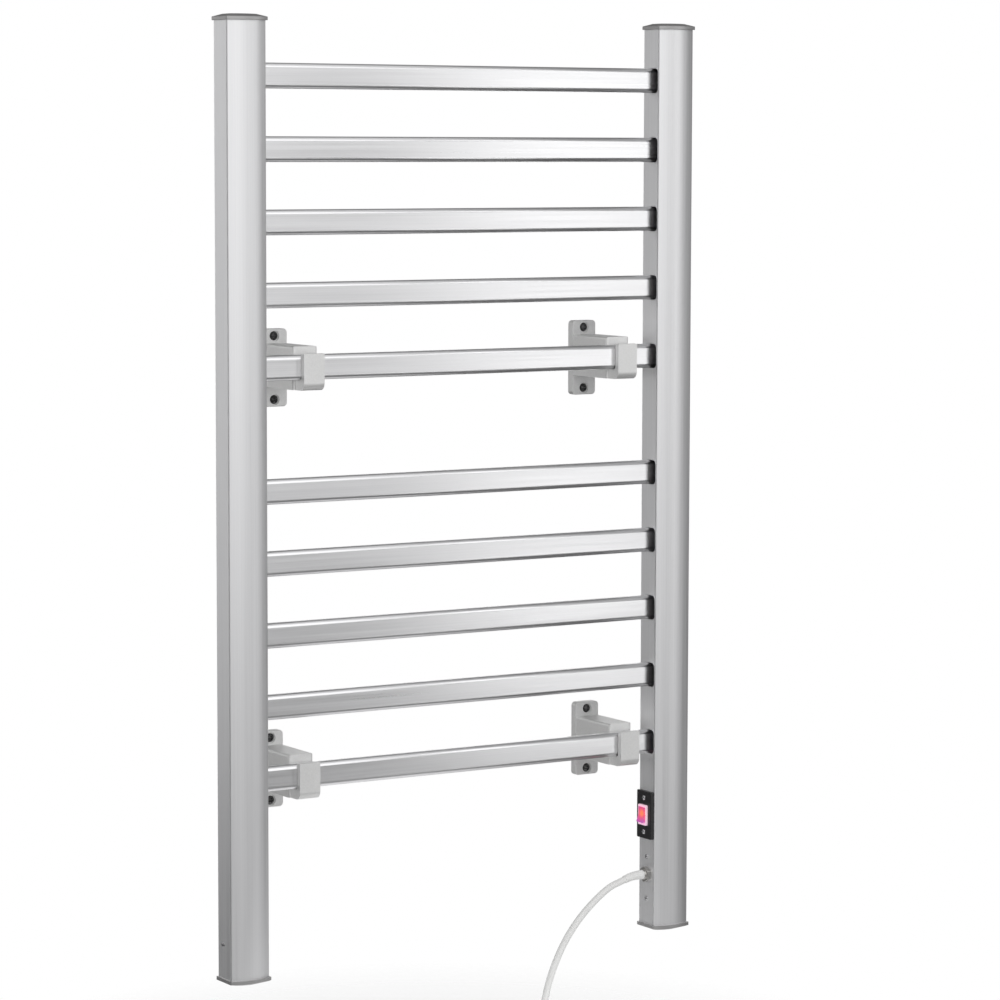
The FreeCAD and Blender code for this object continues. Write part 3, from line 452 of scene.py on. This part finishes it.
# %% Placing a piece
def place_piece(name, mesh, body, finish, slot, *nodes):
    """Put a finished mesh in the scene, on its body, standing for its engineering parts."""
    piece = put(name, mesh)
    if finish:
        mesh.materials.clear()
        mesh.materials.append(finish)
    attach(piece, body)
    if nodes:
        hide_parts(*nodes)
    return piece


def welded(name):
    """An edit mesh of an engineering part, whose triangles come loose, with its doubled points joined."""
    form = bmesh.new()
    form.from_mesh(node[name].data)
    bmesh.ops.remove_doubles(form, verts=form.verts, dist=0.002 * MM)
    return form


print("points closer than 0.002 mm are joined")

# %% Copies with softened edges
def merged(name):
    """One clean mesh of a part, with its flat areas made whole."""
    form = welded(name)
    bmesh.ops.dissolve_limit(form, angle_limit=math.radians(0.6), verts=form.verts, edges=form.edges,
                             delimit={"NORMAL"})
    for face in form.faces:
        face.smooth = True
    return written(form, name + "_soft")


def soften(name, body, finish, slot, width, sharp=38.0, segments=2):
    piece = place_piece(name + "_soft", merged(name), body, finish, slot, name)
    edge = piece.modifiers.new("edge", "BEVEL")
    edge.width = width
    edge.segments = segments
    edge.limit_method = "ANGLE"
    edge.angle_limit = math.radians(sharp)
    even = piece.modifiers.new("even", "WEIGHTED_NORMAL")
    even.keep_sharp = True


for row in ("upper", "lower"):
    for side in ("left", "right"):
        soften("wall_bracket_" + row + "_" + side, "wall_side", bracket_grey, "bracket_plastic", 0.7 * MM)
for end in ("top", "bottom"):
    for side in ("left", "right"):
        soften("cap_" + end + "_" + side, "rack", cap_grey, "cap_plastic", 0.3 * MM)
soften("switch_plate", "rack", black_plate, "black_plastic", 0.3 * MM)
soften("switch_body", "rack", frame_painted_lamp_light, "switch_bezel", 0.3 * MM)
soften("cable_gland", "rack", nickel, "nickel_plate", 0.3 * MM)
soften("rocker", "rocker", lens_glow, "rocker_lens", 0.2 * MM)
print("softened edges on brackets, caps, switch, rocker and gland")

# %% [markdown]
# ## Geometry trees
# What repeats is made by a geometry tree: a graph that takes a few points in and gives a mesh back. Copying
# objects one by one would work too, but a tree keeps one shape for all of them. These helpers start a tree
# with named inputs, end it with real geometry and a finish, and run it on a list of points.

# %% Helpers for geometry trees
def tree_for(name, inputs):
    """An empty geometry tree with a mesh in, a mesh out and named inputs."""
    tree = bpy.data.node_groups.new(name, "GeometryNodeTree")
    tree.interface.new_socket("Geometry", in_out="INPUT", socket_type="NodeSocketGeometry")
    tree.interface.new_socket("Geometry", in_out="OUTPUT", socket_type="NodeSocketGeometry")
    for label, kind in inputs:
        tree.interface.new_socket(label, in_out="INPUT", socket_type=kind)
    net = Net(tree)
    entry = net.add("NodeGroupInput").socket.node
    return net, {socket.name: Wire(net, socket) for socket in entry.outputs if socket.name}


def end_tree(net, given, spread):
    """Turn the copies into real geometry, give them their finish and hand them out."""
    whole = net.add("GeometryNodeRealizeInstances", None, {"Geometry": spread})
    whole = net.add("GeometryNodeSetMaterial", None, {"Geometry": whole, "Material": given["Finish"]})
    net.add("NodeGroupOutput", None, {"Geometry": whole})
    return net.tree


def grow(name, points, tree, values, vectors=None, numbers=None):
    """Run a tree on a set of points, with a vector or a number on each, and return the plain mesh it makes."""
    seed = bpy.data.meshes.new(name)
    seed.from_pydata(points, [], [])
    for label, rows in (vectors or {}).items():
        for item, row in zip(seed.attributes.new(label, "FLOAT_VECTOR", "POINT").data, rows):
            item.vector = row
    for label, rows in (numbers or {}).items():
        for item, row in zip(seed.attributes.new(label, "FLOAT", "POINT").data, rows):
            item.value = row
    holder = put(name, seed)
    modifier = holder.modifiers.new("grow", "NODES")
    modifier.node_group = tree
    for item in tree.interface.items_tree:
        if item.in_out == "INPUT" and item.name in values:
            modifier[item.identifier] = values[item.name]
    mesh = plain_mesh(holder)
    holder.modifiers.remove(modifier)
    bpy.data.objects.remove(holder)
    print(name + ":", len(mesh.polygons), "faces")
    return mesh


print("geometry trees so far:", len(bpy.data.node_groups))

# %% [markdown]
# ## The ten bars
# All bars are cut from one extrusion: a flat tube with well rounded corners. Ten bevelled boxes would look
# alike, but the shape follows a rule, so a geometry tree makes it: a rounded rectangle is run along a
# straight line, and the result is set down once for each level. Only the levels are given as points.

# %% The bar tree
net, given = tree_for("bars", [("Length", "NodeSocketFloat"), ("Height", "NodeSocketFloat"),
                               ("Depth", "NodeSocketFloat"), ("Corner", "NodeSocketFloat"),
                               ("Finish", "NodeSocketMaterial")])
outline = net.add("GeometryNodeCurvePrimitiveQuadrilateral", None,
                  {"Width": given["Depth"], "Height": given["Height"]})
outline = net.add("GeometryNodeFilletCurve", {"mode": "POLY"},
                  {"Curve": outline, "Radius": given["Corner"], "Count": 7})
half = given["Length"] * 0.5
ends = [net.add("ShaderNodeCombineXYZ", None, {0: reach}) for reach in (0 - half, half)]
run = net.add("GeometryNodeCurvePrimitiveLine", None, {"Start": ends[0], "End": ends[1]})
tube = net.add("GeometryNodeCurveToMesh", None, {"Curve": run, "Profile Curve": outline, "Fill Caps": True})
tube = net.add("GeometryNodeSetShadeSmooth", None, {"Geometry": tube, "Shade Smooth": True})
spread = net.add("GeometryNodeInstanceOnPoints", None, {"Points": given["Geometry"], "Instance": tube})
bar_tree = end_tree(net, given, spread)
print("bar tree:", len(bar_tree.nodes), "nodes")

# %% The bars
bar_names = ["bar_" + str(number).zfill(2) for number in range(1, 11)]
bar_low, bar_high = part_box("bar_01")
middles = [(Vector(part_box(name)[0]) + Vector(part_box(name)[1])) / 2 for name in bar_names]
bars_mesh = grow("ten_bars", middles, bar_tree, {
    "Length": bar_high[0] - bar_low[0], "Height": 24.5 * MM, "Depth": 12.0 * MM, "Corner": 4.5 * MM,
    "Finish": bar_metal})
bars = place_piece("ten_bars", bars_mesh, "rack", None, "bar_aluminium", *bar_names)
bars.modifiers.new("even", "WEIGHTED_NORMAL").mode = "FACE_AREA"
ys = [vertex.co.y for vertex in bars_mesh.vertices]
print("bar depth", round((max(ys) - min(ys)) / MM, 2), "mm; first bar at", [round(v, 4) for v in middles[0]])

# %% [markdown]
# ## Screws
# Three sizes of screw hold the rack together and hold it to the wall. A screw is a turned shape, so its
# outline is spun round its axis as on a lathe, and the cross recess is cut from its head. Modelling the
# recess face by face would take longer and look the same at this size.

# %% Spinning an outline
def spun(name, outline, segments):
    """A closed turned shape about Z from (radius, height) points that start and end on the axis."""
    form = bmesh.new()
    rings = []
    for radius, height in outline:
        angles = [2 * math.pi * step / segments for step in range(segments if radius > 0 else 1)]
        rings.append([form.verts.new((radius * math.cos(angle), radius * math.sin(angle), height))
                      for angle in angles])
    for first, second in zip(rings, rings[1:]):
        for step in range(segments):
            following = (step + 1) % segments
            corners = [first[step % len(first)], first[following % len(first)],
                       second[following % len(second)], second[step % len(second)]]
            form.faces.new(list(dict.fromkeys(corners)))
    bmesh.ops.recalc_face_normals(form, faces=form.faces)
    return written(form, name)


def screw_head(head, dome):
    """The dome's outline, from its top to its seat, with the head on the -Z side."""
    ball = (head ** 2 + dome ** 2) / (2 * dome)
    widest = math.asin(head / ball)
    curve = [(ball * math.sin(widest * step / 9), ball * (1 - math.cos(widest * step / 9)) - dome)
             for step in range(10)]
    return curve + [(head, 0.0)]


print("a 9 mm head's outline has", len(screw_head(4.5 * MM, 3.0 * MM)), "points")

# %% Cutting the cross
def with_cross(name, mesh, dome, width, reach, depth):
    """Cut a cross recess into the top of a head."""
    form = bmesh.new()
    for size in ((2 * reach, width, 2 * depth), (width, 2 * reach, 2 * depth)):
        bmesh.ops.create_cube(form, size=1,
                              matrix=Matrix.Translation((0, 0, -dome)) @ Matrix.Diagonal((*size, 1)))
    cutter = put("cutter", written(form, "cutter"))
    holder = put(name, mesh)
    cut = holder.modifiers.new("cut", "BOOLEAN")
    cut.operation, cut.solver, cut.object, cut.use_self = "DIFFERENCE", "EXACT", cutter, True
    result = plain_mesh(holder)
    for made in (cutter, holder):
        bpy.data.objects.remove(made)
    result.name = name
    return result


wall_dome, small_dome = 3.0 * MM, 1.7 * MM
core, crest, half_crest = 1.6 * MM, 2.1 * MM, 0.75
thread = [(2.4 * MM, 0.0), (2.4 * MM, 7.1 * MM), (core, 7.3 * MM)]
for turn in range(7):
    height = 8.6 + 1.9 * turn
    thread += [(core, (height - half_crest) * MM), (crest, height * MM), (core, (height + half_crest) * MM)]
wall_outline = screw_head(4.5 * MM, wall_dome) + thread + [(1.5 * MM, 22.3 * MM), (0.0, 25.1 * MM)]
wall_screw = with_cross("wall_screw", spun("wall_blank", wall_outline, 28), wall_dome,
                        1.1 * MM, 2.3 * MM, 1.3 * MM)
small_outline = screw_head(2.8 * MM, small_dome) + [(1.5 * MM, 0.0), (1.5 * MM, 7.4 * MM), (0.0, 8.0 * MM)]
small_screw = with_cross("small_screw", spun("small_blank", small_outline, 24), small_dome,
                         0.9 * MM, 1.5 * MM, 1.0 * MM)
print("screw blanks:", len(wall_screw.polygons), "and", len(small_screw.polygons), "faces")

# %% [markdown]
# ### Setting the screws
# One geometry tree sets a finished screw down at every hole. Each point carries the way its shank goes and
# its size, so one tree serves both screw shapes, whichever way they face.

# %% The screw tree
net, given = tree_for("screws", [("Screw", "NodeSocketObject"), ("Finish", "NodeSocketMaterial")])
blank = net.add("GeometryNodeObjectInfo", {"transform_space": "ORIGINAL"}, {"Object": given["Screw"]},
                "Geometry")
way = net.add("GeometryNodeInputNamedAttribute", {"data_type": "FLOAT_VECTOR"}, {"Name": "way"})
size = net.add("GeometryNodeInputNamedAttribute", {"data_type": "FLOAT"}, {"Name": "size"})
turned = net.add("FunctionNodeAlignRotationToVector", {"axis": "Z"}, {"Vector": way})
spread = net.add("GeometryNodeInstanceOnPoints", None, {
    "Points": given["Geometry"], "Instance": blank, "Rotation": turned, "Scale": size})
screw_tree = end_tree(net, given, spread)


def set_screws(name, blank_mesh, holes, finish, body, slot, *nodes):
    """holes lists (seat, way, size) for each screw."""
    seats, ways, sizes = zip(*holes)
    blank = put(name + "_blank", blank_mesh)
    mesh = grow(name, seats, screw_tree, {"Screw": blank, "Finish": finish}, {"way": ways}, {"size": sizes})
    bpy.data.objects.remove(blank)
    place_piece(name, mesh, body, None, slot, *nodes)
    mesh.shade_smooth()
    mesh.set_sharp_from_angle(angle=math.radians(35))


print("screw tree:", len(screw_tree.nodes), "nodes")

# %% Finding the holes
def screw_boxes(name):
    """The low corner, high corner and middle of each separate screw in an engineering part."""
    form = welded(name)
    left, boxes = set(form.verts), []
    while left:
        front, island = [left.pop()], []
        while front:
            vertex = front.pop()
            island.append(vertex.co.copy())
            for edge in vertex.link_edges:
                other = edge.other_vert(vertex)
                if other in left:
                    left.remove(other)
                    front.append(other)
        low, high = Vector(map(min, *island)), Vector(map(max, *island))
        boxes.append((low, high, (low + high) / 2))
    form.free()
    return sorted(boxes, key=lambda box: tuple(round(v, 6) for v in box[2]))


wall_seat_y, lock_dome, lock_size = -7.1 * MM, 2.2 * MM, 1.25
wall_holes, small_holes = [], []
for row in ("upper", "lower"):
    for low, high, mid in screw_boxes("wall_screws_" + row):
        wall_holes.append((Vector((mid.x, wall_seat_y, mid.z)), (0, 1, 0), 1.0))
for name in ("switch_plate_screws", "earth_strap_screws"):
    for low, high, mid in screw_boxes(name):
        small_holes.append((Vector((low.x + small_dome, mid.y, mid.z)), (1, 0, 0), 1.0))
for low, high, mid in screw_boxes("cap_screws"):
    inward = 1 if low.x < 0 else -1
    seat_x = low.x + small_dome if inward > 0 else high.x - small_dome
    small_holes.append((Vector((seat_x, mid.y, mid.z)), (inward, 0, 0), 1.0))
for side in ("left", "right"):
    for low, high, mid in screw_boxes("bar_lock_screws_" + side):
        small_holes.append((Vector((mid.x, high.y - lock_dome, mid.z)), (0, -1, 0), lock_size))
print(len(wall_holes), "wall screws and", len(small_holes), "small screws")

# %% The screws
set_screws("wall_screws", wall_screw, wall_holes, black_steel, "wall_side", "black_screws",
           "wall_screws_upper", "wall_screws_lower")
set_screws("small_screws", small_screw, small_holes, zinc_steel, "rack", "steel_screws", "switch_plate_screws",
           "earth_strap_screws", "cap_screws", "bar_lock_screws_left", "bar_lock_screws_right")

# %% [markdown]
# ## The boot at the gland
# Where the lead leaves the gland a soft tapered sleeve stops it from being bent sharply. It is moulded round
# the lead and has shallow ribs, so that it bends evenly. A curve with a tapered bevel could give the cone but
# not the ribs, so a ring of points is carried along the lead's own line, and its radius follows both.

# %% Rings along a line
def along(points, reach, count):
    """Evenly spaced (place, direction) pairs on a line of points, from its start to a distance."""
    marks, travelled, found = [reach * i / (count - 1) for i in range(count)], 0.0, []
    for first, second in zip(points, points[1:]):
        step = (second - first).length
        while marks and marks[0] <= travelled + step + 1e-9 and step > 1e-9:
            found.append((first.lerp(second, max(0.0, (marks.pop(0) - travelled) / step)),
                          (second - first).normalized()))
        travelled += step
    return found


def lofted(name, rings, closed=False):
    """A skin over rings of equally many points: its ends are filled, or joined if it is closed."""
    form = bmesh.new()
    loops = [[form.verts.new(point) for point in ring] for ring in rings]
    for first, second in zip(loops, loops[1:] + loops[:1] if closed else loops[1:]):
        for step in range(len(first)):
            following = (step + 1) % len(first)
            form.faces.new((first[step], first[following], second[following], second[step]))
    if not closed:
        form.faces.new(loops[0])
        form.faces.new(loops[-1])
    bmesh.ops.recalc_face_normals(form, faces=form.faces)
    mesh = written(form, name)
    mesh.shade_smooth()
    mesh.set_sharp_from_angle(angle=math.radians(40))
    print(name + ":", len(rings), "rings,", len(mesh.polygons), "faces")
    return mesh


def wave(share, count):
    """A smooth wave from 0 to 1 and back, count times."""
    return 0.5 - 0.5 * math.cos(share * 2 * math.pi * count)

# %% The ribbed boot
boot_length, boot_root, boot_taper, rib_depth, rib_count = 22.0 * MM, 4.9, 0.9, 0.22 * MM, 7


def round_ring(place, way, radius, segments=28):
    side = way.cross(Vector((0, 1, 0))).normalized()
    other = way.cross(side)
    return [place + (side * math.cos(2 * math.pi * i / segments) + other * math.sin(2 * math.pi * i / segments))
            * radius for i in range(segments)]


boot_rings = []
stations = along(lead_points, boot_length, 67)
for number, (place, way) in enumerate(stations):
    share = number / (len(stations) - 1)
    rib = rib_depth * wave(share, rib_count) if 0.12 < share < 0.97 else 0.0
    boot_rings.append(round_ring(place, way, (boot_root - boot_taper * share) * MM - rib))
boot = place_piece("lead_boot", lofted("lead_boot", boot_rings), "rack", cord_white, "white_cord", "cord_boot")
print("boot:", round(boot_length / MM, 1), "mm long")

# %% [markdown]
# ## The plug
# The plug is one moulding round its three prongs: a flat grip with waisted sides and finger ridges, a neck
# that tapers down to the lead, and a flat face. It could be sculpted from a subdivided box, but its cross
# sections are rounded rectangles that change size along its length, so it is lofted from them, and the ridges
# are small waves in the width.

# %% The plug's cross sections
plug_low, plug_high = (Vector(corner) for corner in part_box("plug_body"))
plug_middle, plug_half = (plug_low + plug_high) / 2, (plug_high - plug_low) / 2


def squared_ring(x, half_y, half_z, power, segments=48):
    """A ring across the plug: round where power is 1, and squarer the smaller it is."""
    ring = []
    for i in range(segments):
        turn = 2 * math.pi * (i + 0.5) / segments
        c, s = math.cos(turn), math.sin(turn)
        ring.append(Vector((x, plug_middle.y + half_y * math.copysign(abs(c) ** power, c),
                            plug_middle.z + half_z * math.copysign(abs(s) ** power, s))))
    return ring


print("plug:", [round(2 * v / MM, 1) for v in plug_half], "mm")

# %% The lofted plug
neck_end, neck_steps, grip_steps, squareness = 93.3 * MM, 8, 30, 0.42
ridge_depth, ridge_count = 0.35 * MM, 9
sections = []
for step in range(neck_steps + 1):
    share = step / neck_steps
    neck = (4.3 + 1.5 * share) * MM
    sections.append((plug_low.x + (neck_end - plug_low.x - 1.5 * MM) * share, neck, neck, 1.0))
sections.append((neck_end - 0.8 * MM, 7.4 * MM, 7.0 * MM, 0.8))
for step in range(grip_steps + 1):
    share = step / grip_steps
    swell = 0.72 + 0.28 * min(1.0, math.sin(min(1.0, share * 1.8 + 0.1) * math.pi / 2))
    waist = 1.0 - 0.07 * math.sin(min(1.0, share * 1.2) * math.pi) ** 2
    ridge = ridge_depth * wave(share, ridge_count) if 0.2 < share < 0.72 else 0.0
    sections.append((neck_end + (plug_high.x - neck_end) * share * 0.97, plug_half.y * swell * waist - ridge,
                     plug_half.z * (0.78 + 0.22 * min(1.0, share * 3)), squareness))
for back, less in ((0.3 * MM, 0.4 * MM), (0.0, 1.1 * MM)):
    sections.append((plug_high.x - back, plug_half.y - less, plug_half.z - less, squareness))
plug = place_piece("plug_grip", lofted("plug_grip", [squared_ring(*section) for section in sections]), "rack",
                   plug_white, "plug_plastic", "plug_body")
print("plug:", len(sections), "sections,", round((plug_high.x - plug_low.x) / MM, 1), "mm long")

# %% [markdown]
# ## The strap
# One turn of hook-and-loop tape holds the coil. A cloth strip could be wrapped round it by simulation, but
# the turns are round and firm, so the strap simply follows their outline: a rounded rectangle a little larger
# than the stack of turns, about a millimetre thick, with softly rounded edges.

# %% The strap round the coil
tie_low, tie_high = (Vector(corner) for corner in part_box("cord_tie"))
tie_middle, tie_half = (tie_low + tie_high) / 2, (tie_high - tie_low) / 2
strap_wall, strap_edge, strap_lip = 1.2 * MM, 0.2 * MM, 0.25 * MM


def strap_ring(y, inset):
    """A rounded rectangle in XZ, the outline of the stack of turns."""
    half_x, half_z = tie_half.x - inset, tie_half.z - inset
    corner = max(0.4 * MM, 3.4 * MM - inset)
    ring = []
    for quarter, (sign_x, sign_z) in enumerate(((1, 1), (-1, 1), (-1, -1), (1, -1))):
        for step in range(7):
            turn = math.pi / 2 * (quarter + step / 6)
            ring.append(Vector((tie_middle.x + sign_x * (half_x - corner) + corner * math.cos(turn), y,
                                tie_middle.z + sign_z * (half_z - corner) + corner * math.sin(turn))))
    return ring


strap_rings = [strap_ring(y, inset) for y, inset in (
    (tie_low.y + strap_edge, 0.0), (tie_high.y - strap_edge, 0.0), (tie_high.y, strap_lip),
    (tie_high.y, strap_wall - strap_edge), (tie_high.y - strap_edge, strap_wall),
    (tie_low.y + strap_edge, strap_wall), (tie_low.y, strap_wall - strap_edge), (tie_low.y, strap_lip))]
strap = place_piece("coil_strap", lofted("coil_strap", strap_rings, closed=True), "rack", napped, "black_tie",
                    "cord_tie")

# %% [markdown]
# ## Declaring the lead
# The lead rides with the rack that it hangs from. It stands for the three engineering pieces of the cord.

# %% The lead on its body
lead_curve.materials.append(cord_white)
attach(lead, "rack")
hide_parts("mains_cord", "mains_cord_coil", "mains_cord_tail")

# %% [markdown]
# ## Floor
# The rack hangs in front of nothing and only its coil lies on the floor. A full floor would draw a horizon
# behind the rack, so the floor is a pale disc round the coil that fades out into the white.

# %% Floor
floor_middle = Vector((coil_middle.x, coil_middle.y, floor_z))
floor_radius, fade_end, fade_width = 0.55, 0.52, 0.36
form = bmesh.new()
bmesh.ops.create_circle(form, cap_ends=True, radius=floor_radius, segments=96,
                        matrix=Matrix.Translation(floor_middle))
bmesh.ops.recalc_face_normals(form, faces=form.faces)
floor = put("floor", written(form, "floor"))
pale, net, shader, place = start_finish("pale floor", Emission_Color=(1, 1, 1, 1), Emission_Strength=0.35)
speck = net.noise(net.stretched(place, [400.0] * 3))
feed(net, shader, Base_Color=net.mixed(speck, (0.84, 0.84, 0.84), (0.88, 0.88, 0.88)),
     Roughness=speck * 0.2 + 0.6,
     Alpha=net.clamped((fade_end - net.distance(place, floor_middle)) / fade_width, 0.0, 1.0))
floor.data.materials.append(pale)
print("floor: a disc of", 2 * floor_radius, "m at", round(floor_z, 4), "m")

# %% [markdown]
# ## Light
# Brushed metal shows what stands round it. A wide soft light stands in front on the left and a narrow tall
# one on the right, and the darker gap between them gives the bars their run from dark at the left to bright
# at the right. Three more lights, above and behind, keep the tops and the back from going black. One large
# sky alone would be simpler, but it lights every face alike and the metal goes flat.

# %% Lights
def soft_light(name, place, target, width, height, power):
    lamp = bpy.data.lights.new(name, "AREA")
    lamp.shape, lamp.size, lamp.size_y, lamp.energy = "RECTANGLE", width, height, power
    holder = put(name, lamp)
    holder.location = place
    holder.rotation_euler = (Vector(target) - Vector(place)).to_track_quat("-Z", "Y").to_euler()
    holder.visible_camera = False


soft_light("left_light", (-0.5, -1.5, 0.4), (-0.2, 0, 0.0), 1.9, 2.0, 10.5)
soft_light("right_light", (1.15, -1.5, 0.25), (0.25, 0, -0.05), 0.6, 2.2, 5.6)
soft_light("top_light", (0.0, -0.7, 1.9), (0, -0.05, 0), 2.2, 1.0, 2.5)
soft_light("side_light", (-1.35, 1.3, 0.3), (-0.27, 0, -0.1), 0.6, 2.2, 6)
soft_light("back_light", (1.0, 1.6, -0.3), (0, 0, -0.15), 1.3, 1.4, 8)

# %% [markdown]
# ## World
# The sky is a ramp of greys from dark below to light above, a little stronger in front and to the left. It
# only lights the rack: looked at directly it is plain white, as a studio's paper backdrop would be.

# %% World
world = bpy.data.worlds.new("studio")
bpy.context.scene.world = world
world.use_nodes = True
world.node_tree.nodes.clear()
net = Net(world.node_tree)
spot = net.add("ShaderNodeTexCoord", None, None, "Generated")
x, y, z = (net.add("ShaderNodeSeparateXYZ", None, {0: spot}, axis) for axis in range(3))
greys = [(place, (grey, grey, grey)) for place, grey in
         ((0.0, 0.12), (0.42, 0.2), (0.55, 0.5), (0.8, 0.62), (1.0, 0.66))]
level = net.add("ShaderNodeValToRGB", {"stops": greys}, {0: net.clamped(z * 0.5 + 0.5, 0.0, 1.0)})
around = net.clamped(0.55 - y * 0.35 - x * 0.12, 0.0, 1.2)
ambient = net.add("ShaderNodeBackground", None, {"Color": level, "Strength": around})
seen = net.add("ShaderNodeBackground", None, {"Color": (1, 1, 1, 1), "Strength": 1.0})
camera_ray = net.add("ShaderNodeLightPath", None, None, "Is Camera Ray")
both = net.add("ShaderNodeMixShader", None, {0: camera_ray, 1: ambient, 2: seen})
net.add("ShaderNodeOutputWorld", None, {"Surface": both})
bpy.context.scene.view_settings.view_transform = "Standard"
print("sky:", len(greys), "greys over", len(net.tree.nodes), "nodes")

# %% [markdown]
